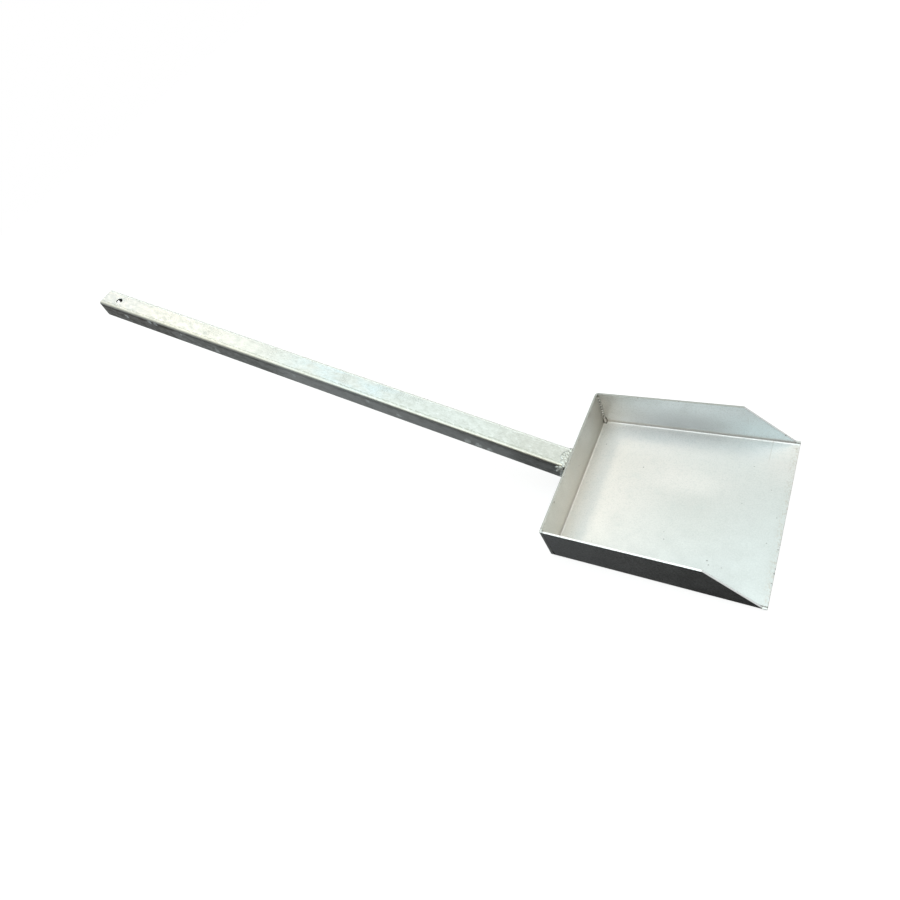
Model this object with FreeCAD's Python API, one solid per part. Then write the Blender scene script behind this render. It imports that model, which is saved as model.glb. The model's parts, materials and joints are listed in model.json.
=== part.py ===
import FreeCAD, Part
import math
import os

# Long-handled feed scoop: a folded sheet-steel pan with a square-tube handle
# welded to the outside of its rear wall.
#
# Millimetres. +X is forward over the lip, +Y is the scoop's left side, +Z is up.
# The origin is the middle of the pan's flat underside.

Vector = FreeCAD.Vector

# Driving dimensions of the pan
PAN_LENGTH = 200.0        # outside of the rear wall to the lip
PAN_WIDTH = 180.0         # over both side walls
WALL_HEIGHT = 50.0        # underside to rim
SHEET = 2.0               # sheet thickness
BEND_INSIDE = 2.0         # inside radius of every fold

# Driving dimensions of the handle
TUBE_SIDE = 25.0          # outside of the square tube
TUBE_WALL = 1.5
TUBE_CORNER = 3.0         # outside corner radius of the tube
HANDLE_LENGTH = 650.0     # along the top face, rear wall to sawn end
HANDLE_RISE = 20.0        # degrees above the pan's floor
HOLE_DIAMETER = 8.0       # hanging hole
HOLE_FROM_END = 25.0      # hole centre to sawn end

# Driving dimensions of the weld runs
CORNER_LEG = 3.0          # inside bead in the rear corners
CORNER_EASE = 2.0         # outside radius left on the welded rear corners
HANDLE_LEG = 4.0          # beads round the foot of the handle
TOP_BEAD_ON_RIM = 1.6     # how far the top bead reaches over the rim
TOP_BEAD_HEIGHT = 2.0

# Worked out from the above
REAR = -PAN_LENGTH / 2.0
LIP = PAN_LENGTH / 2.0
SIDE = PAN_WIDTH / 2.0
BEND_OUTSIDE = BEND_INSIDE + SHEET
RISE = math.radians(HANDLE_RISE)
TUBE_HALF = TUBE_SIDE / 2.0
TUBE_FLAT_HALF = TUBE_HALF - TUBE_CORNER
TUBE_FOOT_HEIGHT = TUBE_SIDE / math.cos(RISE)   # height of the mitred foot
OVERRUN = 60.0            # how far cutting shapes reach past what they cut


def prism(corners, sweep):
    """Solid with a flat polygon for its section, swept along a vector."""
    outline = Part.makePolygon(corners + [corners[0]])
    return Part.Face(outline).extrude(sweep)


def tray(inset, fold_radius, front, top):
    """The pan's volume moved in by inset, with its three folds rounded."""
    start = Vector(REAR + inset, inset - SIDE, inset)
    block = Part.makeBox(front - start.x, -2.0 * start.y, top - start.z, start)
    folds = []
    for edge in block.Edges:
        middle = edge.CenterOfMass
        if abs(middle.z - inset) < 0.01 and middle.x < front - 0.01:
            folds.append(edge)
    return block.makeFillet(fold_radius, folds)


def front_cutter():
    """Removes the upper front corner of both side walls at 45 degrees."""
    slope = WALL_HEIGHT - BEND_OUTSIDE
    foot = LIP - BEND_OUTSIDE
    corners = [
        Vector(foot, -SIDE - 1.0, BEND_OUTSIDE),
        Vector(foot - slope, -SIDE - 1.0, WALL_HEIGHT),
        Vector(foot - slope, -SIDE - 1.0, WALL_HEIGHT + 1.0),
        Vector(LIP + 1.0, -SIDE - 1.0, WALL_HEIGHT + 1.0),
        Vector(LIP + 1.0, -SIDE - 1.0, BEND_OUTSIDE),
    ]
    return prism(corners, Vector(0.0, PAN_WIDTH + 2.0, 0.0))


def corner_notch(side):
    """Square notch that lets the rear and side walls fold up past each other."""
    start_y = -SIDE if side < 0 else SIDE - BEND_OUTSIDE
    start = Vector(REAR, start_y, 0.0)
    return Part.makeBox(BEND_OUTSIDE, BEND_OUTSIDE, WALL_HEIGHT, start)


def pan_sheet():
    """Floor, rear wall and two side walls in one folded sheet."""
    outside = tray(0.0, BEND_OUTSIDE, LIP, WALL_HEIGHT)
    inside = tray(SHEET, BEND_INSIDE, LIP + OVERRUN, WALL_HEIGHT + OVERRUN)
    sheet = outside.cut(inside)
    sheet = sheet.cut(front_cutter())
    for side in (-1, 1):
        sheet = sheet.cut(corner_notch(side))
    return sheet


def corner_weld_right():
    """Fills the -Y rear corner: eased outside edge, flat-faced bead inside."""
    notch = BEND_OUTSIDE
    bead = SHEET + CORNER_LEG
    on_arc = CORNER_EASE * (1.0 - math.sqrt(0.5))

    def at(forward, inward):
        return Vector(REAR + forward, inward - SIDE, 0.0)

    ease_start = at(0.0, CORNER_EASE)
    ease_end = at(CORNER_EASE, 0.0)
    outline = Part.Wire([
        Part.Arc(ease_start, at(on_arc, on_arc), ease_end).toShape(),
        Part.makeLine(ease_end, at(notch, 0.0)),
        Part.makeLine(at(notch, 0.0), at(notch, SHEET)),
        Part.makeLine(at(notch, SHEET), at(bead, SHEET)),
        Part.makeLine(at(bead, SHEET), at(SHEET, bead)),
        Part.makeLine(at(SHEET, bead), at(SHEET, notch)),
        Part.makeLine(at(SHEET, notch), at(0.0, notch)),
        Part.makeLine(at(0.0, notch), ease_start),
    ])
    column = Part.Face(outline).extrude(Vector(0.0, 0.0, WALL_HEIGHT))
    inside_folds = tray(0.0, BEND_OUTSIDE, LIP, WALL_HEIGHT)
    return column.common(inside_folds).cut(pan_sheet())


def corner_weld_left():
    """The +Y rear corner's weld, a mirror image of the other one."""
    return corner_weld_right().mirror(Vector(0.0, 0.0, 0.0), Vector(0.0, 1.0, 0.0))


def tube_bar(inset, overrun):
    """Square bar lying along the handle, as big as the tube less inset."""
    length = HANDLE_LENGTH + overrun + OVERRUN
    half = TUBE_HALF - inset
    start = Vector(-HANDLE_LENGTH - overrun, -half, inset - TUBE_SIDE)
    bar = Part.makeBox(length, 2.0 * half, 2.0 * half, start)
    long_edges = [edge for edge in bar.Edges if edge.Length > length - 1.0]
    bar = bar.makeFillet(TUBE_CORNER - inset, long_edges)
    return set_on_handle(bar)


def set_on_handle(shape):
    """Turns a shape up by the handle's rise and sets it on the rear rim."""
    shape.rotate(Vector(0.0, 0.0, 0.0), Vector(0.0, 1.0, 0.0), HANDLE_RISE)
    shape.translate(Vector(REAR, 0.0, WALL_HEIGHT))
    return shape


def handle_tube():
    """Square tube, mitred onto the rear wall, with a hanging hole."""
    tube = tube_bar(0.0, 0.0).cut(tube_bar(TUBE_WALL, OVERRUN))
    start = Vector(REAR, -TUBE_SIDE, -OVERRUN)
    in_front = Part.makeBox(2.0 * OVERRUN, 2.0 * TUBE_SIDE, 4.0 * OVERRUN, start)
    tube = tube.cut(in_front)
    hole_at = Vector(HOLE_FROM_END - HANDLE_LENGTH, 0.0, -TUBE_SIDE - 1.0)
    drill = Part.makeCylinder(HOLE_DIAMETER / 2.0, TUBE_SIDE + 2.0, hole_at)
    return tube.cut(set_on_handle(drill))


def along_handle(distance):
    """How far back and up a distance along the handle reaches."""
    return Vector(-distance * math.cos(RISE), 0.0, distance * math.sin(RISE))


def handle_weld_top():
    """Low rounded bead over the seam between the rim and the tube's top."""
    seam = Vector(REAR, -TUBE_FLAT_HALF, WALL_HEIGHT)
    front = seam + Vector(TOP_BEAD_ON_RIM, 0.0, 0.0)
    rear = seam + along_handle(HANDLE_LEG)
    crown = (front + rear) * 0.5 + Vector(0.0, 0.0, TOP_BEAD_HEIGHT)
    outline = Part.Wire([
        Part.makeLine(front, seam),
        Part.makeLine(seam, rear),
        Part.Arc(rear, crown, front).toShape(),
    ])
    return Part.Face(outline).extrude(Vector(0.0, 2.0 * TUBE_FLAT_HALF, 0.0))


def handle_weld_bottom():
    """Bead in the angle between the rear wall and the tube's underside."""
    seam = Vector(REAR, -TUBE_FLAT_HALF, WALL_HEIGHT - TUBE_FOOT_HEIGHT)
    down_wall = seam - Vector(0.0, 0.0, HANDLE_LEG)
    up_tube = seam + along_handle(HANDLE_LEG)
    sweep = Vector(0.0, 2.0 * TUBE_FLAT_HALF, 0.0)
    return prism([seam, down_wall, up_tube], sweep)


def handle_side_weld(side):
    """Bead in the angle between the rear wall and one side of the tube."""
    corner_height = TUBE_CORNER / math.cos(RISE)
    lowest = WALL_HEIGHT - TUBE_FOOT_HEIGHT + corner_height
    lowest = lowest + HANDLE_LEG * math.tan(RISE)
    highest = WALL_HEIGHT - corner_height
    seam = Vector(REAR, side * TUBE_HALF, lowest)
    on_wall = seam + Vector(0.0, side * HANDLE_LEG, 0.0)
    on_tube = seam - Vector(HANDLE_LEG, 0.0, 0.0)
    return prism([seam, on_wall, on_tube], Vector(0.0, 0.0, highest - lowest))


def handle_weld_left():
    return handle_side_weld(1)


def handle_weld_right():
    return handle_side_weld(-1)


pieces = {
    "pan_sheet": pan_sheet,
    "handle_tube": handle_tube,
    "corner_weld_left": corner_weld_left,
    "corner_weld_right": corner_weld_right,
    "handle_weld_top": handle_weld_top,
    "handle_weld_bottom": handle_weld_bottom,
    "handle_weld_left": handle_weld_left,
    "handle_weld_right": handle_weld_right,
}

os.makedirs("parts", exist_ok=True)
for name, build_piece in pieces.items():
    solids = build_piece().Solids
    print(name, "solids:", len(solids), "volume:", round(solids[0].Volume))
    solids[0].exportStep("parts/" + name + ".step")
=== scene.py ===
import json
import math
import random

import bmesh
import bpy
from mathutils import Matrix, Vector, noise


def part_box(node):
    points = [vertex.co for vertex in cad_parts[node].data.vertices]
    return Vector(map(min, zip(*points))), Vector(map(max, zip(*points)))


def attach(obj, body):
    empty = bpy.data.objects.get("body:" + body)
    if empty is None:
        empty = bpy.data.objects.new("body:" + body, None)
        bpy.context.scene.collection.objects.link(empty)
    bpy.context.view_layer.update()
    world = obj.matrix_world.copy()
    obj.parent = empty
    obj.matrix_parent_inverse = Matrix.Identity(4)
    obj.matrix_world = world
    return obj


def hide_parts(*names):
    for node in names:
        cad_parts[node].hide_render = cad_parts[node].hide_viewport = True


# Looks for the long-handled feed scoop: the folded zinc-coated pan and the square
# tube keep their CAD shape and get materials; every weld is rebuilt with the lumps
# and ripples of weld metal. Metres, in the CAD frame: +X over the lip, +Y left, +Z up.
# "Far" is the +Y side and "near" the -Y side, as the camera sees them.

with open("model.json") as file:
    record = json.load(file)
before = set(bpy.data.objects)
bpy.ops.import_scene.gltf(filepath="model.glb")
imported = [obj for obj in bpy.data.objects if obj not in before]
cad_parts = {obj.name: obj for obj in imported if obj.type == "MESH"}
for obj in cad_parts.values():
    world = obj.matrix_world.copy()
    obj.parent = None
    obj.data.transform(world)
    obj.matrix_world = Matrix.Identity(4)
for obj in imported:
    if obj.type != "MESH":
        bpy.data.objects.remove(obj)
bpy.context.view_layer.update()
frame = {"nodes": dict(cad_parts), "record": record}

MM = 0.001

# Read from the frame
PAN_LOW, PAN_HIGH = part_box("pan_sheet")
REAR = PAN_LOW.x
LIP = PAN_HIGH.x
SIDE = PAN_HIGH.y
RIM = PAN_HIGH.z
TUBE_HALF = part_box("handle_tube")[1].y
HOLE = frame["record"]["mounts"][0]    # the hanging hole runs square to the handle
HOLE_AT = Vector(HOLE["pos_m"])
HANDLE_UP = Vector(HOLE["axis"]).normalized()
HANDLE_BACK = Vector((-HANDLE_UP.z, 0.0, HANDLE_UP.x))
HANDLE_FOOT = Vector((REAR, 0.0, RIM))
TUBE_FOOT_HEIGHT = 2.0 * TUBE_HALF / HANDLE_UP.z

# Section sizes, the same as in the CAD source: sheet thickness, outside radii of the
# sheet's bends and of the tube's corners, and the way the walls' front ends face
SHEET = 2.0 * MM
BEND = 4.0 * MM
TUBE_CORNER = 3.0 * MM
SLOPE_OUT = Vector((1.0, 0.0, 1.0)).normalized()

# The pan's inside faces
FLOOR_TOP = SHEET
INNER_REAR = REAR + SHEET
INNER_SIDE = SIDE - SHEET

# Camera, as the scoop was seen: an orbit about a point under the handle
CAMERA_AIM = Vector((-0.2808, 0.0142, 0.0))
CAMERA_DISTANCE = 0.74245
CAMERA_AZIMUTH = math.radians(52.12)
CAMERA_ELEVATION = math.radians(46.37)
CAMERA_ROLL = math.radians(-33.11)
CAMERA_LENS = 22.976
SENSOR = 36.0


def handle_point(back, across, out):
    """A point by its distance back along the top face, across it and out of it."""
    return HANDLE_FOOT + HANDLE_BACK * back + Vector((0.0, across, 0.0)) + HANDLE_UP * out


def sky_direction(azimuth, elevation):
    """Unit vector towards a compass angle from +X and a height, in degrees."""
    around = math.radians(azimuth)
    up = math.radians(elevation)
    return Vector((
        math.cos(around) * math.cos(up),
        math.sin(around) * math.cos(up),
        math.sin(up),
    ))


# ---------------------------------------------------------------- shader helpers


class Shader:
    """Adds nodes to one node tree and links them."""

    def __init__(self, tree):
        self.tree = tree
        tree.nodes.clear()

    def add(self, kind, inputs=None, **settings):
        node = self.tree.nodes.new("ShaderNode" + kind)
        for name, value in settings.items():
            setattr(node, name, value)
        for socket, value in (inputs or {}).items():
            self.feed(node.inputs[socket], value)
        return node

    def feed(self, socket, value):
        if isinstance(value, bpy.types.NodeSocket):
            self.tree.links.new(value, socket)
        elif socket.type == "RGBA" and len(value) == 3:
            socket.default_value = (*value, 1.0)
        else:
            socket.default_value = value

    def math(self, operation, a, b=0.0):
        return self.add("Math", {0: a, 1: b}, operation=operation).outputs[0]

    def plus(self, a, b):
        return self.math("ADD", a, b)

    def times(self, a, b):
        return self.math("MULTIPLY", a, b)

    def dot(self, a, b):
        return self.add("VectorMath", {0: a, 1: b}, operation="DOT_PRODUCT").outputs["Value"]

    def distance(self, a, b):
        return self.add("VectorMath", {0: a, 1: b}, operation="DISTANCE").outputs["Value"]

    def smooth(self, value, start, end, low=0.0, high=1.0):
        """Goes smoothly from low at start to high at end."""
        inputs = {"Value": value, "From Min": start, "From Max": end, "To Min": low, "To Max": high}
        return self.add("MapRange", inputs, interpolation_type="SMOOTHSTEP").outputs[0]

    def mix(self, factor, a, b, blend="MIX"):
        node = self.add("Mix", data_type="RGBA", blend_type=blend)
        self.feed(node.inputs["Factor"], factor)
        self.feed(node.inputs[6], a)
        self.feed(node.inputs[7], b)
        return node.outputs[2]

    def noise(self, where, scale, detail=3.0, roughness=0.5, distortion=0.0):
        inputs = {
            "Vector": where,
            "Scale": scale,
            "Detail": detail,
            "Roughness": roughness,
            "Distortion": distortion,
        }
        return self.add("TexNoise", inputs).outputs["Fac"]

    def stretch(self, where, scale):
        """The position squeezed or stretched along each axis."""
        return self.add("VectorMath", {0: where, 1: scale}, operation="MULTIPLY").outputs[0]

    def spot(self, where, centre, radius):
        """1 inside a round patch, fading to 0 at its edge."""
        return self.smooth(self.distance(where, centre), radius, 0.4 * radius)

    def largest(self, values):
        top = values[0]
        for value in values[1:]:
            top = self.math("MAXIMUM", top, value)
        return top


class Metal(Shader):
    """A zinc-coated metal: colour, roughness and height are built up, then joined."""

    def __init__(self, name):
        self.material = bpy.data.materials.new(name)
        self.material.use_nodes = True
        super().__init__(self.material.node_tree)
        self.where = self.add("TexCoord").outputs["Object"]
        split = self.add("SeparateXYZ", {0: self.where}).outputs
        self.x = split["X"]
        self.y = split["Y"]
        self.z = split["Z"]

    def finish(self, colour, roughness, height, depth, metallic=1.0):
        bump = self.add("Bump", {"Height": height, "Distance": depth, "Strength": 1.0})
        inputs = {
            "Base Color": colour,
            "Metallic": metallic,
            "Roughness": roughness,
            "Normal": bump.outputs[0],
        }
        surface = self.add("BsdfPrincipled", inputs)
        self.add("OutputMaterial", {"Surface": surface.outputs[0]})
        return self.material


# ---------------------------------------------------------------- materials


# Colours of zinc in its states, of what lies on it, and of painted shade
BRIGHT_CUT = (0.98, 0.99, 0.99)
PALE_GRAIN = (0.98, 0.99, 0.98)
CLOUD_ZINC = (0.72, 0.76, 0.75)
PATCH_ZINC = (0.66, 0.70, 0.69)
WORN_ZINC = (0.72, 0.73, 0.72)
DULL_ZINC = (0.50, 0.51, 0.49)
SPECKLED_ZINC = (0.50, 0.53, 0.52)
DARK_GRAIN = (0.50, 0.52, 0.52)
BROWN_SCUFF = (0.52, 0.46, 0.40)
# painted shade above the rear bend
BEND_SHADE = (0.34, 0.34, 0.31)
PIT = (0.12, 0.11, 0.10)
SOOT = (0.07, 0.07, 0.055)
RUBBED_ZINC = (0.97, 0.98, 0.96)
WHITE_OXIDE = (0.92, 0.97, 1.0)
# painted shade on the tube's inside walls
INSIDE_SHADE = (0.14, 0.14, 0.13)
ZINC_RELIEF = 0.05 * MM    # depth of the coat's bumps for a height of 1
OXIDE_METALLIC = 0.4       # how metallic a crust of zinc oxide still looks


def zinc_sheet_material():
    """Satin zinc coat on the folded sheet: clouding, grain, specks, soot and scuffs, with painted
    light and shade on the floor and walls.
    """
    m = Metal("zinc_sheet")
    clouds = m.noise(m.where, 16.0, 3.0)
    patches = m.noise(m.stretch(m.where, (1.0, 1.5, 1.0)), 55.0, 4.0, 0.6)
    speckle = m.noise(m.where, 330.0, 3.0, 0.7)
    grain = m.noise(m.where, 850.0, 3.0, 0.7)
    swell = m.noise(m.where, 9.0, 1.0)
    grit = near_wall_grit(m)
    sheared = slopes(m)
    soot = corner_soot(m)
    specks = sheet_specks(m)

    colour = wall_tones(m, floor_tones(m), grit)
    colour = m.mix(m.smooth(clouds, 0.36, 0.64, 0.0, 0.12), colour, CLOUD_ZINC)
    colour = m.mix(m.smooth(patches, 0.5, 0.75, 0.0, 0.22), colour, PATCH_ZINC)
    colour = m.mix(m.smooth(speckle, 0.45, 0.75, 0.0, 0.16), colour, SPECKLED_ZINC)
    colour = m.mix(m.smooth(grain, 0.48, 0.7, 0.0, 0.30), colour, DARK_GRAIN)
    colour = m.mix(m.smooth(grain, 0.50, 0.3, 0.0, 0.12), colour, PALE_GRAIN)
    colour = m.mix(edge_scuffs(m), colour, BROWN_SCUFF)
    colour = m.mix(shade_above_bend(m), colour, BEND_SHADE)
    colour = m.mix(m.largest([sheared, on_rim_top(m)]), colour, BRIGHT_CUT)
    colour = m.mix(blunt_tips(m), colour, WORN_ZINC)
    colour = m.mix(dull_rim(m), colour, DULL_ZINC)
    colour = m.mix(soot, colour, SOOT)
    colour = m.mix(specks, colour, PIT)

    roughness = m.smooth(patches, 0.3, 0.8, 0.42, 0.5)
    roughness = m.math("MAXIMUM", roughness, m.times(m.largest([specks, soot]), 0.7))
    roughness = m.math("MAXIMUM", roughness, m.times(in_rear_bend(m), 0.6))
    roughness = m.math("SUBTRACT", roughness, m.times(sheared, 0.25))
    height = m.plus(m.times(swell, 4.0), m.times(grain, 0.25))
    height = m.plus(height, m.times(specks, -1.2))
    metallic = m.smooth(grit, 0.0, 1.0, 1.0, OXIDE_METALLIC)
    return m.finish(colour, roughness, height, ZINC_RELIEF, metallic)


def floor_tones(m):
    """Painted light on the floor: a painted highlight that is warm and bright at the rear left and
    goes to a cooler, darker tone at the front right.
    """
    warm_bright = (0.88, 0.83, 0.80)
    cool_dark = (0.61, 0.63, 0.63)
    darker_middle = (0.64, 0.64, 0.62)
    light_band = (0.88, 0.84, 0.82)
    warm_front = (0.79, 0.76, 0.75)
    painted_light_in_shade = (0.97, 0.95, 0.93)

    # painted highlight: the key light's broad highlight fades from the rear left to the front right
    highlight_direction = Vector((0.76, -0.65, 0.0))
    highlight_falloff = m.smooth(m.dot(m.where, highlight_direction), -110.0 * MM, 110.0 * MM)
    colour = m.mix(highlight_falloff, warm_bright, cool_dark)
    # a darker patch in the middle
    middle = m.smooth(m.distance(m.where, (20.0 * MM, -10.0 * MM, 0.0)), 60.0 * MM, 0.0)
    colour = m.mix(m.times(middle, 0.5), colour, darker_middle)
    # painted light: a lighter band across the floor towards the far wall
    from_band = m.distance(m.stretch(m.where, (1.0, 2.2, 1.0)), (5.0 * MM, 57.0 * MM, 0.0))
    colour = m.mix(m.smooth(from_band, 55.0 * MM, 10.0 * MM, 0.0, 0.6), colour, light_band)
    # painted light: the front left, lit beyond the sloping wall's shadow
    front_left = m.smooth(m.distance(m.where, (LIP, SIDE - 10.0 * MM, 0.0)), 60.0 * MM, 10.0 * MM)
    colour = m.mix(m.times(front_left, 0.9), colour, warm_front)
    # painted light over the far wall's shadow and in the far rear corner
    by_far_wall = m.smooth(m.y, 60.0 * MM, 78.0 * MM, 0.0, 0.35)
    by_corner = m.smooth(m.distance(m.where, (REAR, SIDE, 0.0)), 50.0 * MM, 20.0 * MM, 0.0, 0.9)
    return m.mix(m.math("MAXIMUM", by_far_wall, by_corner), colour, painted_light_in_shade)


def wall_tones(m, colour, grit):
    """Puts the walls' tones, painted light and shade among them, over the floor's."""
    above_floor = m.smooth(m.z, FLOOR_TOP, 2.0 * BEND)
    on_far = m.times(m.smooth(m.y, INNER_SIDE - SHEET, INNER_SIDE), above_floor)
    on_rear = m.times(m.smooth(m.x, INNER_REAR + SHEET, INNER_REAR), above_floor)
    colour = m.mix(on_far, colour, far_wall_colour(m))
    colour = m.mix(on_rear, colour, rear_wall_colour(m))
    return m.mix(outside_near_wall(m), colour, near_wall_colour(m, grit))


def far_wall_colour(m):
    """Painted reflections: bluish and bright to the front and top, darker low in the middle, white
    at the rear.
    """
    rear_end = (0.80, 0.82, 0.82)
    front_end = (0.84, 0.96, 1.0)
    darker_blue = (0.60, 0.63, 0.65)
    pale_blue = (0.91, 0.97, 1.0)
    white = (1.0, 1.0, 1.0)

    colour = m.mix(m.smooth(m.x, -70.0 * MM, 70.0 * MM), rear_end, front_end)
    low_middle = m.smooth(m.distance(m.where, (-5.0 * MM, SIDE, 12.0 * MM)), 75.0 * MM, 10.0 * MM)
    colour = m.mix(low_middle, colour, darker_blue)
    colour = m.mix(m.smooth(m.z, 15.0 * MM, RIM - 5.0 * MM), colour, pale_blue)
    return m.mix(m.smooth(m.x, -60.0 * MM, REAR), colour, white)


def rear_wall_colour(m):
    """Warm grey, with painted shade making it darker towards the far corner and low down there, and
    a paler patch on its rim.
    """
    near_end_high = (0.66, 0.65, 0.61)
    near_end_low = (0.67, 0.65, 0.60)
    far_end_high = (0.57, 0.56, 0.53)
    far_end_low = (0.45, 0.44, 0.40)
    pale_patch = (0.69, 0.69, 0.68)
    by_corner = (0.42, 0.42, 0.39)

    # painted shade: darker low down, most at the far end
    low = m.smooth(m.z, 26.0 * MM, 8.0 * MM, 0.0, 0.7)
    near_end = m.mix(low, near_end_high, near_end_low)
    far_end = m.mix(low, far_end_high, far_end_low)
    colour = m.mix(m.smooth(m.y, -50.0 * MM, 60.0 * MM), near_end, far_end)
    on_patch = m.smooth(m.distance(m.where, (REAR, 50.0 * MM, RIM)), 35.0 * MM, 8.0 * MM)
    colour = m.mix(on_patch, colour, pale_patch)
    # painted shade towards the far corner
    return m.mix(m.smooth(m.y, 66.0 * MM, 84.0 * MM, 0.0, 0.3), colour, by_corner)


def near_wall_colour(m, grit):
    """The near wall's outside: darker to the rear, a painted shade, with a rough coat and pale
    crumbs.
    """
    rear_end = (0.62, 0.62, 0.64)
    front_end = (0.84, 0.83, 0.83)
    dark_pores = (0.35, 0.35, 0.35)
    crumbs = (0.80, 0.80, 0.82)

    # painted shade: darker towards the rear
    colour = m.mix(m.smooth(m.x, REAR, 20.0 * MM), rear_end, front_end)
    pores = m.smooth(m.noise(m.where, 480.0, 3.0, 0.7), 0.42, 0.66, 0.0, 0.5)
    colour = m.mix(pores, colour, dark_pores)
    return m.mix(grit, colour, crumbs)


def outside_near_wall(m):
    """1 on the near wall's outside face."""
    return m.smooth(m.y, -INNER_SIDE, -SIDE + 0.5 * SHEET)


def near_wall_grit(m):
    """Pale crumbs of zinc oxide on the near wall's outside, thickest to the front."""
    crumbs = m.smooth(m.noise(m.where, 760.0, 3.0, 0.75), 0.64, 0.72)
    thickness = m.smooth(m.x, -60.0 * MM, 50.0 * MM, 0.15, 0.9)
    return m.times(m.times(crumbs, outside_near_wall(m)), thickness)


def slopes(m):
    """The walls' sloping front ends, sheared bright."""
    facing = m.add("TexCoord").outputs["Normal"]
    slope = m.smooth(m.dot(facing, SLOPE_OUT), 0.97, 0.99)
    return m.times(slope, m.smooth(m.x, 0.0, 10.0 * MM))


def on_rim_top(m):
    """1 on the sheared edge along the top of the walls."""
    return m.smooth(m.z, RIM - 0.35 * MM, RIM - 0.1 * MM)


def blunt_tips(m):
    """The two front tips, where the bends run out, are knocked dull."""
    by_side = m.smooth(m.math("ABSOLUTE", m.y), SIDE - 4.5 * MM, SIDE - 3.5 * MM)
    return m.times(m.smooth(m.x, LIP - 6.0 * MM, LIP - 4.0 * MM), by_side)


def in_rear_bend(m):
    """1 on the inside of the rear bend."""
    along = m.smooth(m.x, REAR + BEND + 1.0 * MM, REAR + BEND)
    return m.times(along, m.smooth(m.z, BEND + 1.0 * MM, BEND))


def shade_above_bend(m):
    """Painted shade on the rear wall just above the bend, heavier towards the far corner."""
    on_wall = m.smooth(m.x, INNER_REAR + 1.2 * MM, INNER_REAR + 0.2 * MM)
    low = m.smooth(m.z, 10.0 * MM, 4.0 * MM)
    return m.times(m.times(on_wall, low), m.smooth(m.y, -60.0 * MM, 50.0 * MM, 0.22, 0.42))


# Marks on the sheet, in millimetres: two places on the surface, and the mark's radius.
# Floor: x, y. Lip: y only. Rear wall: y, z. Far and near walls: x, z.
FLOOR_SPECKS = (
    (-38, 33, 0.9), (3, -45, 0.8), (1, -37, 0.5), (45, -57, 0.9), (47, -61, 0.8), (58, -61, 0.6),
    (89, -27, 0.6), (65, 54, 0.6), (62, 10, 0.5), (-64, -65, 0.7), (93, 1, 0.6), (84, 30, 0.5),
)
LIP_NICKS = ((-55, 1.6), (-50, 0.9), (-26, 0.8), (-66, 0.7), (12, 0.7), (33, 0.6))
REAR_WALL_MARKS = ((-53, 47, 1.6), (9, 23, 0.9), (-6, 49, 0.7), (12, 21, 0.6))
FAR_WALL_NICKS = ((-53, 50, 1.2), (-11, 50, 1.0), (87, 13, 1.3), (90, 11, 0.9))
NEAR_WALL_SPECKS = ((-4, 15, 0.9), (52, 15, 0.8), (65, 43, 0.7), (80, 11, 0.7), (-41, 30, 0.6))


def sheet_specks(m):
    """Dark pits and nicks in the zinc: a few placed ones and a scatter near the lip."""
    marks = [(x * MM, y * MM, FLOOR_TOP, r) for x, y, r in FLOOR_SPECKS]
    marks += [(LIP, y * MM, FLOOR_TOP, r) for y, r in LIP_NICKS]
    marks += [(INNER_REAR, y * MM, z * MM, r) for y, z, r in REAR_WALL_MARKS]
    marks += [(x * MM, INNER_SIDE, z * MM, r) for x, z, r in FAR_WALL_NICKS]
    marks += [(x * MM, -SIDE, z * MM, r) for x, z, r in NEAR_WALL_SPECKS]
    wobble = m.noise(m.where, 1400.0, 2.0)
    placed = m.largest([m.spot(m.where, (x, y, z), r * MM) for x, y, z, r in marks])
    placed = m.times(placed, m.smooth(wobble, 0.3, 0.55))

    cells = m.add("TexVoronoi", {"Vector": m.where, "Scale": 140.0}, feature="F1")
    pick = m.add("SeparateColor", {0: cells.outputs["Color"]}).outputs[0]
    by_lip = m.smooth(m.x, LIP - 7.0 * MM, LIP - 1.0 * MM, 0.0, 0.22)
    chosen = m.math("GREATER_THAN", m.plus(pick, by_lip), 0.985)
    scattered = m.times(chosen, m.smooth(cells.outputs["Distance"], 0.10, 0.03))
    return m.times(m.largest([placed, scattered]), 0.8)


def edge_scuffs(m):
    """Brownish scuffing along the lip, and a scribed line across the floor's far end."""
    line_at = 76.5 * MM
    streaks = m.noise(m.stretch(m.where, (1.0, 0.6, 1.0)), 620.0, 4.0, 0.75)
    by_lip = m.smooth(m.x, LIP - 8.0 * MM, LIP - 1.0 * MM)
    scuffs = m.times(m.times(m.smooth(streaks, 0.48, 0.62), by_lip), 0.6)
    across = m.math("ABSOLUTE", m.math("SUBTRACT", m.x, line_at))
    far_end = m.smooth(m.y, 58.0 * MM, 66.0 * MM)
    far_end = m.times(far_end, m.smooth(m.z, 1.5 * FLOOR_TOP, 1.2 * FLOOR_TOP))
    scribed = m.times(m.times(m.smooth(across, 0.5 * MM, 0.15 * MM), far_end), 0.35)
    return m.largest([scuffs, scribed])


def from_inner_walls(m):
    """How far a point stands out from the rear wall and from the nearer side wall."""
    from_rear = m.math("SUBTRACT", m.x, INNER_REAR)
    from_side = m.math("SUBTRACT", INNER_SIDE, m.math("ABSOLUTE", m.y))
    return from_rear, from_side


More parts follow.
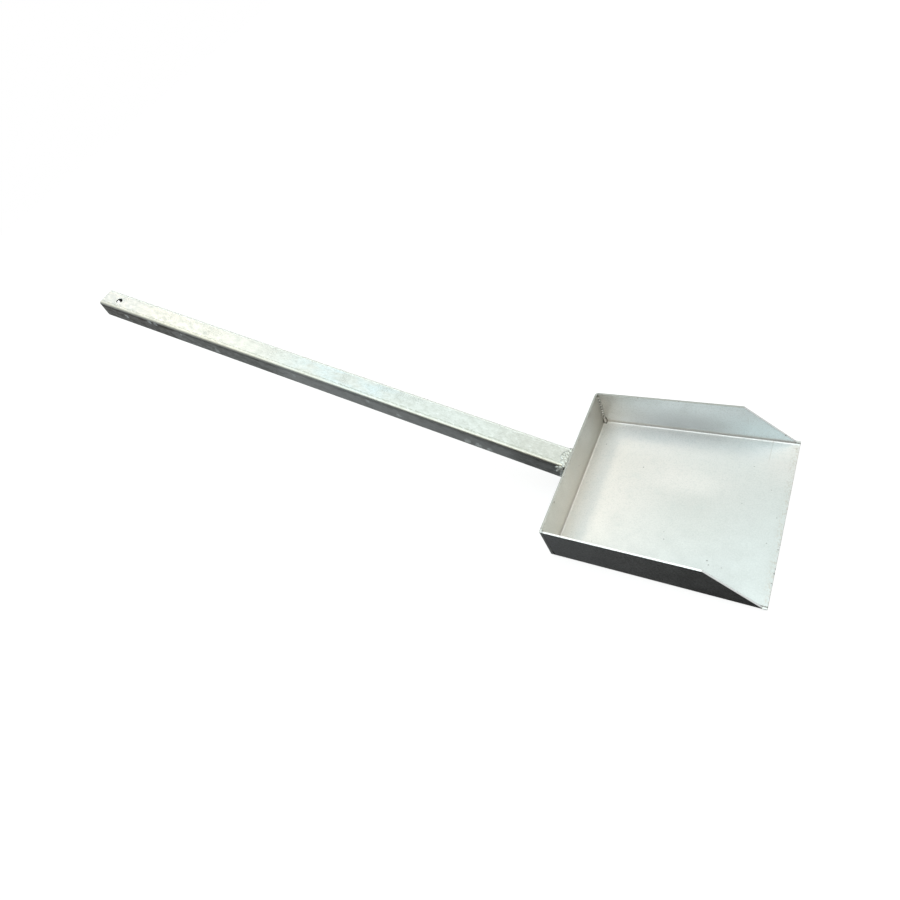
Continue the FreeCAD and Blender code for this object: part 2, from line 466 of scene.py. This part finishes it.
def corner_soot(m):
    """Soot and flux left on the walls beside the two inside corner welds."""
    from_rear, from_side = from_inner_walls(m)
    away = m.math("MAXIMUM", from_rear, from_side)
    wobble = m.times(m.noise(m.where, 600.0, 3.0, 0.6), 2.4 * MM)
    widening = m.smooth(m.z, 16.0 * MM, 3.0 * MM, 0.0, 1.6 * MM)
    reach = m.plus(m.plus(0.9 * MM, wobble), widening)
    past = m.math("SUBTRACT", away, reach)
    stain = m.smooth(past, 0.8 * MM, -0.8 * MM, 0.0, 0.85)
    below_rim = m.smooth(m.z, RIM - 0.5 * MM, RIM - 2.5 * MM)
    return m.times(m.times(stain, below_rim), m.smooth(m.z, 0.5 * MM, 2.0 * MM))


def dull_rim(m):
    """The cut edge is dull along the far wall and the rear wall."""
    far = m.smooth(m.y, SIDE - 2.5 * SHEET, SIDE - 2.0 * SHEET)
    rear = m.smooth(m.x, REAR + 2.0 * SHEET, REAR + 1.5 * SHEET)
    return m.times(on_rim_top(m), m.largest([far, rear]))


# White chips on the tube's near side, in millimetres: along the handle, below its top, radius
SIDE_CHIPS = ((609, 11, 5), (566, 5, 5), (556, 5, 4), (515, 8, 3), (461, 16, 6), (341, 10, 4),
              (238, 8, 4), (198, 15, 5), (112, 17, 6), (98, 18, 6), (85, 19, 5))
# Dark speckle patches on its top face: along the handle, across it, radius
TOP_SPECKLES = ((535, 7, 14), (476, 1, 12), (464, 7, 16), (382, 9, 18), (274, 0, 12),
                (225, 9, 16), (199, 9, 18), (182, 10, 14), (617, 7, 8))


class TubeMetal(Metal):
    """Metal of the tube, with places measured along the handle, across it and out of it."""

    def __init__(self, name):
        super().__init__(name)
        parts = {0: self.where, 1: HANDLE_FOOT}
        from_foot = self.add("VectorMath", parts, operation="SUBTRACT").outputs[0]
        self.along = self.dot(from_foot, HANDLE_BACK)
        self.out = self.dot(from_foot, HANDLE_UP)
        local = {0: self.along, 1: self.y, 2: self.out}
        self.local = self.add("CombineXYZ", local).outputs[0]
        self.tint = self.streaks(24.0, 60.0, 2.0, 0.5)
        self.mottle = self.streaks(110.0, 190.0, 4.0, 0.65)
        self.brushed = self.streaks(260.0, 620.0, 4.0, 0.7)
        self.scratch = self.streaks(40.0, 1500.0, 3.0, 0.6)
        self.creamy = self.smooth(self.along, 250.0 * MM, 480.0 * MM)

    def streaks(self, lengthwise, crosswise, detail, roughness, distortion=0.0):
        """Noise with its own fineness along the handle and across it."""
        squeezed = self.stretch(self.local, (lengthwise, crosswise, crosswise))
        return self.noise(squeezed, 1.0, detail, roughness, distortion)


def zinc_tube_material():
    """Mottled zinc coat on the tube, with wrinkles, worn edges, chips and dirt, and painted shade
    inside, by the pan and beside the near top edge.
    """
    m = TubeMetal("zinc_tube")
    rubbed_bottom = rubbed_bottom_edges(m)
    rubbed = m.largest([rubbed_far_edge(m), rubbed_bottom])
    on_side = on_near_side(m)
    chips = side_chips(m, on_side)

    colour = tube_tones(m)
    colour = tube_marks(m, colour)
    colour = worn_near_edge(m, colour)
    colour = m.mix(rubbed, colour, RUBBED_ZINC)
    colour = dirty_near_side(m, colour, on_side)
    colour = m.mix(inside_tube(m), colour, INSIDE_SHADE)
    colour = m.mix(chips, colour, WHITE_OXIDE)

    roughness = m.smooth(m.mottle, 0.3, 0.8, 0.38, 0.5)
    roughness = m.math("MAXIMUM", roughness, m.times(rubbed, 0.85))
    roughness = m.plus(roughness, m.times(chips, 0.3))
    height = m.plus(m.times(m.mottle, 1.0), m.times(m.scratch, 0.3))
    height = m.plus(height, m.times(chips, 0.8))
    oxide = m.math("MAXIMUM", chips, m.times(rubbed_bottom, 0.6))
    metallic = m.smooth(oxide, 0.0, 1.0, 1.0, 0.0)
    return m.finish(colour, roughness, height, ZINC_RELIEF, metallic)


def tube_tones(m):
    """Pale green by the pan, cream further back, pale blue in the middle and at the end."""
    pale_green = (0.67, 0.69, 0.67)
    cream = (0.74, 0.74, 0.72)
    darker_by_pan = (0.61, 0.61, 0.58)
    pale_end = (0.68, 0.70, 0.72)
    pale_blue = (0.69, 0.78, 0.82)
    dark_mottle = (0.52, 0.54, 0.50)
    light_mottle = (0.80, 0.81, 0.80)
    dark_brushed = (0.50, 0.52, 0.49)
    light_brushed = (0.80, 0.81, 0.82)

    colour = m.mix(m.creamy, pale_green, cream)
    # painted shade: darker by the pan, short of the broad highlight further back
    colour = m.mix(m.smooth(m.along, 110.0 * MM, 40.0 * MM), colour, darker_by_pan)
    colour = m.mix(m.smooth(m.along, 560.0 * MM, 610.0 * MM), colour, pale_end)
    from_middle = m.math("SUBTRACT", m.plus(m.along, m.times(m.tint, 90.0 * MM)), 330.0 * MM)
    blue = m.smooth(m.math("ABSOLUTE", from_middle), 110.0 * MM, 20.0 * MM, 0.0, 0.9)
    colour = m.mix(m.times(blue, m.smooth(m.tint, 0.4, 0.6)), colour, pale_blue)
    colour = m.mix(m.smooth(m.mottle, 0.48, 0.72, 0.0, 0.4), colour, dark_mottle)
    colour = m.mix(m.smooth(m.mottle, 0.5, 0.3, 0.0, 0.5), colour, light_mottle)
    colour = m.mix(m.smooth(m.brushed, 0.48, 0.68, 0.0, 0.4), colour, dark_brushed)
    return m.mix(m.smooth(m.brushed, 0.48, 0.32, 0.0, 0.5), colour, light_brushed)


def tube_marks(m, colour):
    """Dark speckle, thin wrinkles in the coat and a pale ring round the hanging hole."""
    speckle_grey = (0.38, 0.40, 0.38)
    wrinkle_grey = (0.42, 0.43, 0.40)
    ring_blue = (0.68, 0.74, 0.78)

    speckle = m.noise(m.local, 750.0, 3.0, 0.7)
    patches = [m.spot(m.local, (s * MM, y * MM, 0.0), r * MM) for s, y, r in TOP_SPECKLES]
    by_near_edge = m.smooth(m.math("ABSOLUTE", m.plus(m.y, 8.0 * MM)), 2.5 * MM, 0.0)
    busy = m.plus(m.times(m.largest(patches), 0.17), m.times(by_near_edge, 0.06))
    dots = m.smooth(m.plus(speckle, busy), 0.65, 0.74, 0.0, 0.5)
    colour = m.mix(dots, colour, speckle_grey)

    wrinkles = m.streaks(130.0, 300.0, 3.0, 0.6, 1.2)
    thin = m.smooth(m.math("ABSOLUTE", m.math("SUBTRACT", wrinkles, 0.5)), 0.03, 0.008)
    colour = m.mix(m.times(thin, m.smooth(m.tint, 0.42, 0.6, 0.1, 0.4)), colour, wrinkle_grey)

    from_hole = m.plus(m.distance(m.where, HOLE_AT), m.times(m.tint, 6.0 * MM))
    ring = m.smooth(from_hole, 15.0 * MM, 8.0 * MM, 0.0, 0.7)
    return m.mix(ring, colour, ring_blue)


def worn_near_edge(m, colour):
    """The rounding along the near top edge is dull, with a thin dark line beside it, partly grey
    marks and partly a painted dark reflection.
    """
    worn_by_pan = (0.60, 0.59, 0.53)
    worn_cream = (0.64, 0.58, 0.47)
    dark_marks_and_reflection = (0.45, 0.46, 0.40)

    past_flat = m.math("SUBTRACT", m.times(m.y, -1.0), TUBE_HALF - TUBE_CORNER)
    near_top = m.smooth(m.out, -2.5 * MM, -0.5 * MM)
    rounding = m.times(m.smooth(past_flat, -0.6 * MM, 0.9 * MM), near_top)
    worn = m.mix(m.creamy, worn_by_pan, worn_cream)
    colour = m.mix(m.times(rounding, 0.9), colour, worn)
    # a thin dark line beside the rounding: partly grey marks in the coat, partly a painted dark
    # reflection
    by_line = m.smooth(m.math("ABSOLUTE", m.plus(past_flat, 1.4 * MM)), 1.0 * MM, 0.2 * MM)
    line = m.times(m.times(by_line, near_top), m.smooth(m.brushed, 0.40, 0.54, 0.0, 0.85))
    return m.mix(line, colour, dark_marks_and_reflection)


def rubbed_far_edge(m):
    """The far top edge is rubbed bright and dry."""
    flat_half = TUBE_HALF - TUBE_CORNER
    return m.smooth(m.y, flat_half - 0.8 * MM, flat_half + 0.4 * MM)


def rubbed_bottom_edges(m):
    """Rubbed, scratched zinc along the tube's lowest edges."""
    bottom = -2.0 * TUBE_HALF
    lowest = m.smooth(m.out, bottom + 4.5 * MM, bottom + 2.0 * MM)
    return m.times(lowest, m.smooth(m.scratch, 0.35, 0.6))


def on_near_side(m):
    """1 on the tube's near side face, below its rounded top edge."""
    return m.times(m.smooth(m.y, 0.0, -TUBE_HALF * 0.9), m.smooth(m.out, -1.0 * MM, -4.0 * MM))


def side_chips(m, on_side):
    """Ragged white chips of zinc oxide on the near side."""
    worn = [m.spot(m.local, (s * MM, -TUBE_HALF, -d * MM), r * MM) for s, d, r in SIDE_CHIPS]
    flakes = m.streaks(380.0, 520.0, 4.0, 0.75)
    chipped = m.plus(m.times(m.largest(worn), 0.24), flakes)
    return m.times(m.smooth(chipped, 0.62, 0.70), on_side)


def dirty_near_side(m, colour, on_side):
    """The near side is paler zinc under dirt: by the weld, under the edge, at the end."""
    side_zinc = (0.85, 0.87, 0.87)
    grey_dirt = (0.18, 0.18, 0.16)
    brown_dirt = (0.17, 0.14, 0.12)

    back_half = m.smooth(m.along, 340.0 * MM, 380.0 * MM, 0.0, 0.45)
    far_end = m.smooth(m.along, 480.0 * MM, 545.0 * MM, 0.0, 0.70)
    by_weld = m.smooth(m.along, 66.0 * MM, 45.0 * MM, 0.0, 0.35)
    under_edge = m.smooth(m.out, -7.5 * MM, -3.5 * MM, 0.0, 0.4)
    uneven = m.smooth(m.mottle, 0.4, 0.6, -0.11, 0.11)
    dirt = m.plus(m.plus(m.largest([back_half, far_end, by_weld]), uneven), under_edge)
    colour = m.mix(m.times(on_side, 0.9), colour, side_zinc)
    soiled = m.mix(far_end, grey_dirt, brown_dirt)
    return m.mix(m.times(m.math("MAXIMUM", dirt, 0.0), on_side), colour, soiled)


def inside_tube(m):
    """1 on the tube's inside walls and in its open end, where painted shade darkens them."""
    bottom = -2.0 * TUBE_HALF
    between_sides = m.smooth(m.math("ABSOLUTE", m.y), TUBE_HALF - 0.8 * MM, TUBE_HALF - 1.3 * MM)
    below_top = m.smooth(m.out, -0.6 * MM, -1.3 * MM)
    above_bottom = m.smooth(m.out, bottom + 0.8 * MM, bottom + 1.3 * MM)
    return m.times(between_sides, m.times(below_top, above_bottom))


def handle_weld_material():
    """As-welded metal under zinc: light crowns, dark creases that are partly painted shade from
    ambient occlusion, oxide on the near side.
    """
    dull_bead = (0.62, 0.64, 0.61)
    light_bead = (0.80, 0.81, 0.78)
    dark_crease = (0.12, 0.12, 0.11)

    m = Metal("handle_bead")
    occlusion = m.add("AmbientOcclusion", {"Distance": 0.9 * MM}, samples=8).outputs["AO"]
    pits = m.noise(m.where, 900.0, 3.0, 0.6)
    colour = m.mix(m.smooth(pits, 0.35, 0.7), dull_bead, light_bead)
    # dark creases: partly dark weld metal, partly painted shade from ambient occlusion
    colour = m.mix(m.smooth(occlusion, 0.9, 0.4), colour, dark_crease)
    roughness = m.smooth(pits, 0.3, 0.7, 0.45, 0.6)
    metallic = m.smooth(m.y, -TUBE_HALF + 2.0 * MM, -TUBE_HALF, 1.0, OXIDE_METALLIC)
    return m.finish(colour, roughness, pits, 0.12 * MM, metallic)


def corner_weld_material():
    """Corner bead: bright crowns on a sooty root; the outside, dressed flush, looks like
    the sheet."""
    dull_bead = (0.66, 0.68, 0.67)
    light_bead = (0.80, 0.82, 0.81)
    sooty_root = (0.16, 0.16, 0.15)
    bright_crown = (1.0, 1.0, 1.0)

    m = Metal("corner_bead")
    pits = m.noise(m.where, 900.0, 3.0, 0.6)
    from_rear, from_side = from_inner_walls(m)
    away = m.math("MAXIMUM", from_rear, from_side)
    standing_out = m.math("MINIMUM", from_rear, from_side)
    wobble = m.times(m.noise(m.where, 700.0, 3.0, 0.6), 0.9 * MM)
    soot = m.smooth(m.plus(away, wobble), 2.2 * MM, 1.2 * MM, 0.0, 0.85)
    inside = m.smooth(standing_out, -0.4 * MM, -0.1 * MM)
    inside = m.times(inside, m.smooth(m.z, RIM - 1.0 * MM, RIM - 2.5 * MM))
    crown = m.smooth(m.plus(standing_out, m.times(pits, 0.3 * MM)), 0.5 * MM, 0.85 * MM)
    far_top = m.times(on_rim_top(m), m.smooth(m.y, 0.0, SHEET))

    colour = m.mix(m.smooth(pits, 0.35, 0.7), dull_bead, light_bead)
    colour = m.mix(m.times(soot, inside), colour, sooty_root)
    colour = m.mix(m.times(crown, inside), colour, bright_crown)
    colour = m.mix(far_top, colour, DULL_ZINC)
    roughness = m.smooth(pits, 0.3, 0.7, 0.42, 0.55)
    return m.finish(colour, roughness, pits, 0.08 * MM)


# ---------------------------------------------------------------- meshes


def new_piece(name, mesh_work, material):
    """Makes a weld from a bmesh, standing for the CAD node of the same name."""
    mesh = bpy.data.meshes.new(name)
    mesh_work.to_mesh(mesh)
    mesh_work.free()
    piece = bpy.data.objects.new(name, mesh)
    bpy.context.scene.collection.objects.link(piece)
    piece.data.materials.append(material)
    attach(piece, "root")
    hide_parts(name)
    return piece


def melt_together(piece, voxel):
    """Fuses a piece's overlapping lumps into one smooth closed skin."""
    remesh = piece.modifiers.new("fuse", "REMESH")
    remesh.mode = "VOXEL"
    remesh.voxel_size = voxel
    remesh.use_smooth_shade = True
    smooth = piece.modifiers.new("soften", "SMOOTH")
    smooth.iterations = 1
    smooth.factor = 0.5
    evaluated = piece.evaluated_get(bpy.context.evaluated_depsgraph_get())
    fused = bpy.data.meshes.new_from_object(evaluated)
    fused.name = piece.name
    piece.modifiers.clear()
    piece.data = fused


def lump(mesh_work, centre, size, facing=(0.0, 0.0, 1.0), turn=0.0, detail=3):
    """Adds an egg-shaped lump of weld metal; the last of its three sizes is along facing."""
    turned = Vector(facing).to_track_quat("Z", "Y").to_matrix().to_4x4()
    spin = Matrix.Rotation(turn, 4, "Z")
    scale = Matrix.Diagonal((*size, 1.0))
    place = Matrix.Translation(centre) @ turned @ spin @ scale
    made = bmesh.ops.create_icosphere(mesh_work, subdivisions=detail, radius=1.0, matrix=place)
    return made["verts"]


def corner_filler(mesh_work, side, outside_radius):
    """Weld metal between the folded-up ends: a column with an eased outer corner, drawn
    in below as the two bends are."""
    arc_steps = 6
    fold_steps = 7

    def ring(offset, height, inner):
        outline = []
        for step in range(arc_steps + 1):
            angle = 0.5 * math.pi * step / arc_steps
            forward = outside_radius * (1.0 - math.cos(angle))
            inward = outside_radius * (1.0 - math.sin(angle))
            outline.append((forward, inward))
        outline += [(BEND, 0.0), (BEND, inner), (inner, inner), (inner, BEND), (0.0, BEND)]
        loop = []
        for forward, inward in outline:
            x = REAR + max(forward, offset)
            y = side * (SIDE - max(inward, offset))
            loop.append(mesh_work.verts.new((x, y, height)))
        return loop

    rings = []
    for step in range(1, fold_steps + 1):
        angle = 0.5 * math.pi * step / fold_steps
        height = BEND * (1.0 - math.cos(angle))
        inner = SHEET if height > SHEET else BEND
        rings.append(ring(BEND * (1.0 - math.sin(angle)), height, inner))
    rings.append(ring(0.0, RIM, SHEET))
    for below, above in zip(rings, rings[1:]):
        for i in range(len(below)):
            j = (i + 1) % len(below)
            mesh_work.faces.new((below[i], below[j], above[j], above[i]))
    mesh_work.faces.new(rings[0])
    mesh_work.faces.new(rings[-1])


def corner_weld(name, side, outside_radius, seed, material):
    """Corner filler with a thin stitched bead up its inside, ending in a blob below."""
    draw = random.Random(seed)
    mesh_work = bmesh.new()
    corner_filler(mesh_work, side, outside_radius)
    inward = Vector((1.0, -side, 0.0)).normalized()
    corner_line = Vector((INNER_REAR, side * INNER_SIDE, 0.0))

    def on_root(off, height):
        return corner_line + inward * off + Vector((0.0, 0.0, height))

    first_stitch = 9.5 * MM
    last_stitch = RIM - 3.0 * MM
    height = first_stitch
    while height < last_stitch:
        radius = draw.uniform(0.75, 0.95) * MM
        length = draw.uniform(1.1, 1.8) * MM
        sideways = Vector((draw.uniform(-0.3, 0.3) * MM, 0.0, 0.0))
        lump(mesh_work, on_root(0.7 * MM, height) + sideways, (radius, radius, length))
        height += draw.uniform(3.6, 4.8) * MM
    root_low = on_root(0.1 * MM, 3.0 * MM)
    root_high = on_root(0.1 * MM, RIM - 1.5 * MM)
    ridge(mesh_work, root_low, root_high, 0.55 * MM, draw)
    blob_size = Vector((2.1, 2.1, 2.6)) * MM
    tail_size = Vector((1.3, 1.3, 2.4)) * MM
    lump(mesh_work, on_root(1.6 * MM, 4.2 * MM), blob_size)
    lump(mesh_work, on_root(1.0 * MM, 7.0 * MM), tail_size)
    piece = new_piece(name, mesh_work, material)
    melt_together(piece, CORNER_VOXEL)


def ridge(mesh_work, start, end, radius, draw):
    """A rough ridge of small overlapping lumps from one point to another."""
    run = end - start
    travelled = 0.0
    while travelled < run.length:
        size = radius * draw.uniform(0.8, 1.2)
        lump(mesh_work, start + run * (travelled / run.length), (size, size, size))
        travelled += radius * draw.uniform(0.8, 1.1)


def puddle(mesh_work, centre, radius, thickness, facing, draw):
    """A round dollop of weld metal with the uneven rings its freezing leaves."""
    unevenness = 1.1 * MM
    unevenness_width = 2.2 * MM
    ripple_height = 0.11 * MM
    squashed = (radius, radius * draw.uniform(0.8, 1.0), thickness)
    verts = lump(mesh_work, centre, squashed, facing, draw.uniform(0.0, 3.0), 5)
    ring_centre = centre + facing.orthogonal() * radius * draw.uniform(-0.4, 0.4)
    pitch = draw.uniform(1.1, 1.5) * MM
    for vert in verts:
        from_centre = vert.co - ring_centre
        flat = from_centre - facing * from_centre.dot(facing)
        uneven = unevenness * noise.noise(vert.co / unevenness_width)
        ripple = math.cos(2.0 * math.pi * (flat.length + uneven) / pitch)
        vert.co += facing * (ripple_height * ripple + 0.5 * uneven)


# Dollops of the handle welds, in millimetres, in the order they froze.
# Top: back along the handle, across it, radius. Side: back, below the top face, radius.
TOP_PUDDLES = ((1.0, 11.0, 1.5), (1.5, 8.6, 2.3), (3.2, 6.0, 2.8), (5.4, 3.6, 3.4), (2.4, 2.6, 2.8),
               (6.2, -0.6, 3.9), (2.2, -1.4, 3.0), (1.6, -10.4, 2.4), (3.4, -5.9, 4.3))
SIDE_PUDDLES = ((2.0, 20.0, 1.6), (1.6, 17.5, 1.7), (1.8, 14.8, 1.9), (2.0, 11.6, 2.3),
                (6.4, 10.4, 2.4), (2.2, 7.6, 2.6), (7.8, 4.4, 2.3), (4.2, 3.6, 3.0), (5.6, 7.4, 2.2))
LIGHT_LIMIT = 2.0    # furthest back and largest radius on the lightly welded side

# Shares of a dollop's radius: half its thickness, and how deep its middle lies in the tube
TOP_THICKNESS = 0.36
TOP_SINK = 0.12
SIDE_THICKNESS = 0.62

# Finest detail that each weld's skin keeps
CORNER_VOXEL = 0.26 * MM
HANDLE_VOXEL = 0.22 * MM
BOTTOM_VOXEL = 0.28 * MM


def handle_weld_top(material):
    """Swirled weld over the top seam, heaviest towards the near side."""
    name = "handle_weld_top"
    draw = random.Random(11)
    mesh_work = bmesh.new()
    for back, across, radius in TOP_PUDDLES:
        place = handle_point(back * MM, across * MM, -TOP_SINK * radius * MM)
        puddle(mesh_work, place, radius * MM, TOP_THICKNESS * radius * MM, HANDLE_UP, draw)
    piece = new_piece(name, mesh_work, material)
    melt_together(piece, HANDLE_VOXEL)


def handle_weld_side(name, side, heavy, seed, material):
    """Weld on one side of the tube by its foot. Its dollops go down square to the handle
    and not down the upright rear wall, so they leave a gap to the wall that widens."""
    draw = random.Random(seed)
    mesh_work = bmesh.new()
    facing = Vector((0.0, side, 0.0))
    for back, below, radius in SIDE_PUDDLES:
        if not heavy:
            back = min(back, LIGHT_LIMIT)
            radius = min(radius, LIGHT_LIMIT)
        place = handle_point(back * MM, side * TUBE_HALF, -below * MM)
        puddle(mesh_work, place, radius * MM, SIDE_THICKNESS * radius * MM, facing, draw)
    piece = new_piece(name, mesh_work, material)
    melt_together(piece, HANDLE_VOXEL)


def handle_weld_bottom(material):
    """Even bead in the angle under the tube."""
    name = "handle_weld_bottom"
    draw = random.Random(31)
    mesh_work = bmesh.new()
    reach = TUBE_HALF - 0.5 * TUBE_CORNER
    facing = (HANDLE_BACK - HANDLE_UP).normalized()
    off_seam = Vector((-1.0, 0.0, -0.8)) * MM
    across = -reach
    while across < reach:
        size = draw.uniform(1.7, 2.1) * MM
        centre = Vector((REAR, across, RIM - TUBE_FOOT_HEIGHT)) + off_seam
        lump(mesh_work, centre, (size, size, 0.75 * size), facing, draw.uniform(0.0, 3.0))
        across += draw.uniform(1.4, 1.9) * MM
    piece = new_piece(name, mesh_work, material)
    melt_together(piece, BOTTOM_VOXEL)


def dress_cad_node(name, material, edge):
    """Gives a CAD node its material and takes the sharpness off its edges."""
    node = frame["nodes"][name]
    for holder in node.material_slots:
        holder.material = material
    # neighbouring CAD faces have their own points along a shared edge: join them first
    weld = node.modifiers.new("join_faces", "WELD")
    weld.merge_threshold = 0.001 * MM
    # the limit leaves the fine steps of the bends and of the hole alone
    bevel = node.modifiers.new("soft_edges", "BEVEL")
    bevel.width = edge
    bevel.segments = 2
    bevel.limit_method = "ANGLE"
    bevel.angle_limit = math.radians(35.0)
    # shade the broad faces flat and keep the rounding to the bevel
    flat = node.modifiers.new("flat_faces", "WEIGHTED_NORMAL")
    flat.weight = 100


# ---------------------------------------------------------------- studio


# Soft patches of light round the scoop: azimuth from +X, elevation, spread in degrees, colour
SOFT_LIGHTS = (
    (0.0, 90.0, 45.0, (1.33, 1.56, 1.64)),       # overhead softbox
    (24.0, 5.0, 32.0, (0.55, 0.56, 0.56)),       # low panel the sloping edges mirror
    (-135.0, 55.0, 50.0, (0.46, 0.54, 0.59)),    # cool fill, behind to the right
    (-45.0, 55.0, 50.0, (0.58, 0.50, 0.36)),     # warm fill, in front to the right
    (45.0, 55.0, 50.0, (0.72, 0.72, 0.62)),      # fill, in front to the left
    (125.0, 12.0, 35.0, (0.80, 0.84, 0.84)),     # pale backdrop, behind to the left
    (33.0, 27.0, 42.0, (0.22, 0.23, 0.23)),      # low fill, in front to the left
    (-145.0, 12.0, 40.0, (0.18, 0.19, 0.19)),    # low fill, behind to the right
    (-150.0, -25.0, 50.0, (0.21, 0.22, 0.22)),   # glow off the ground to the right
)
# The key light: direction in degrees, how wide it looks, tint and strength
KEY_AZIMUTH = 141.5
KEY_ELEVATION = 55.0
KEY_WIDTH = math.radians(11.0)
KEY_COLOUR = (1.0, 0.85, 0.63)
KEY_ENERGY = 0.17
FLOOR_HALF = 3.0              # half the floor's side
FLOOR_GAP = 0.1 * MM          # the floor lies this far under the pan
FLOOR_GREY = (0.25, 0.25, 0.25)
FLOOR_GLOW = 0.84             # with the light on it, this brings the floor to white


def studio_world():
    """Dark surroundings with a few large soft lights; the camera sees plain white."""
    world = bpy.data.worlds.new("studio")
    world.use_nodes = True
    s = Shader(world.node_tree)
    direction = s.add("TexCoord").outputs["Generated"]
    light = (0.0, 0.0, 0.0)
    for azimuth, elevation, spread, colour in SOFT_LIGHTS:
        facing = s.dot(direction, sky_direction(azimuth, elevation))
        share = s.smooth(facing, math.cos(math.radians(spread)), 1.0)
        lit = s.mix(share, (0.0, 0.0, 0.0), colour)
        light = s.mix(1.0, light, lit, "ADD")
    camera_ray = s.add("LightPath").outputs["Is Camera Ray"]
    shown = s.mix(camera_ray, light, (1.0, 1.0, 1.0))
    background = s.add("Background", {"Color": shown, "Strength": 1.0})
    s.add("OutputWorld", {"Surface": background.outputs[0]})
    bpy.context.scene.world = world


def studio_key():
    """Soft light from behind left: the walls' shadows on the pan's floor come from it."""
    light = bpy.data.lights.new("key", "SUN")
    light.angle = KEY_WIDTH
    light.energy = KEY_ENERGY
    light.color = KEY_COLOUR
    lamp = bpy.data.objects.new("key", light)
    towards = sky_direction(KEY_AZIMUTH, KEY_ELEVATION)
    lamp.rotation_euler = (-towards).to_track_quat("-Z", "Y").to_euler()
    bpy.context.scene.collection.objects.link(lamp)


def studio_floor():
    """Plain pale floor that the camera sees and the metal neither mirrors nor is lit by."""
    mesh_work = bmesh.new()
    bmesh.ops.create_grid(mesh_work, x_segments=1, y_segments=1, size=FLOOR_HALF)
    mesh = bpy.data.meshes.new("floor")
    mesh_work.to_mesh(mesh)
    mesh_work.free()
    floor = bpy.data.objects.new("floor", mesh)
    floor.location.z = -FLOOR_GAP
    bpy.context.scene.collection.objects.link(floor)
    floor.visible_glossy = False
    floor.visible_diffuse = False
    material = bpy.data.materials.new("pale_floor")
    material.use_nodes = True
    s = Shader(material.node_tree)
    matt = s.add("BsdfDiffuse", {"Color": FLOOR_GREY})
    glow = s.add("Emission", {"Color": (1.0, 1.0, 1.0), "Strength": FLOOR_GLOW})
    both = s.add("AddShader", {0: matt.outputs[0], 1: glow.outputs[0]})
    s.add("OutputMaterial", {"Surface": both.outputs[0]})
    mesh.materials.append(material)


def studio_camera():
    """The viewing angle: an orbit about CAMERA_AIM, then a roll of the camera."""
    data = bpy.data.cameras.new("camera")
    data.lens = CAMERA_LENS
    data.sensor_width = SENSOR
    data.clip_start = 0.01
    camera = bpy.data.objects.new("camera", data)
    back = Vector((
        math.sin(CAMERA_AZIMUTH) * math.cos(CAMERA_ELEVATION),
        -math.cos(CAMERA_AZIMUTH) * math.cos(CAMERA_ELEVATION),
        math.sin(CAMERA_ELEVATION),
    ))
    level = (-back).to_track_quat("-Z", "Y").to_matrix().to_4x4()
    place = Matrix.Translation(CAMERA_AIM + back * CAMERA_DISTANCE)
    camera.matrix_world = place @ level @ Matrix.Rotation(CAMERA_ROLL, 4, "Z")
    bpy.context.scene.collection.objects.link(camera)
    bpy.context.scene.camera = camera


# ---------------------------------------------------------------- assembly

bpy.context.scene.view_settings.view_transform = "Standard"
studio_world()
studio_key()
studio_floor()
studio_camera()

dress_cad_node("pan_sheet", zinc_sheet_material(), 0.25 * MM)
dress_cad_node("handle_tube", zinc_tube_material(), 0.2 * MM)

corner_bead = corner_weld_material()
corner_weld("corner_weld_left", 1, 3.5 * MM, seed=5, material=corner_bead)
corner_weld("corner_weld_right", -1, 1.2 * MM, seed=6, material=corner_bead)

handle_bead = handle_weld_material()
handle_weld_top(handle_bead)
handle_weld_bottom(handle_bead)
handle_weld_side("handle_weld_left", 1, heavy=False, seed=21, material=handle_bead)
handle_weld_side("handle_weld_right", -1, heavy=True, seed=22, material=handle_bead)
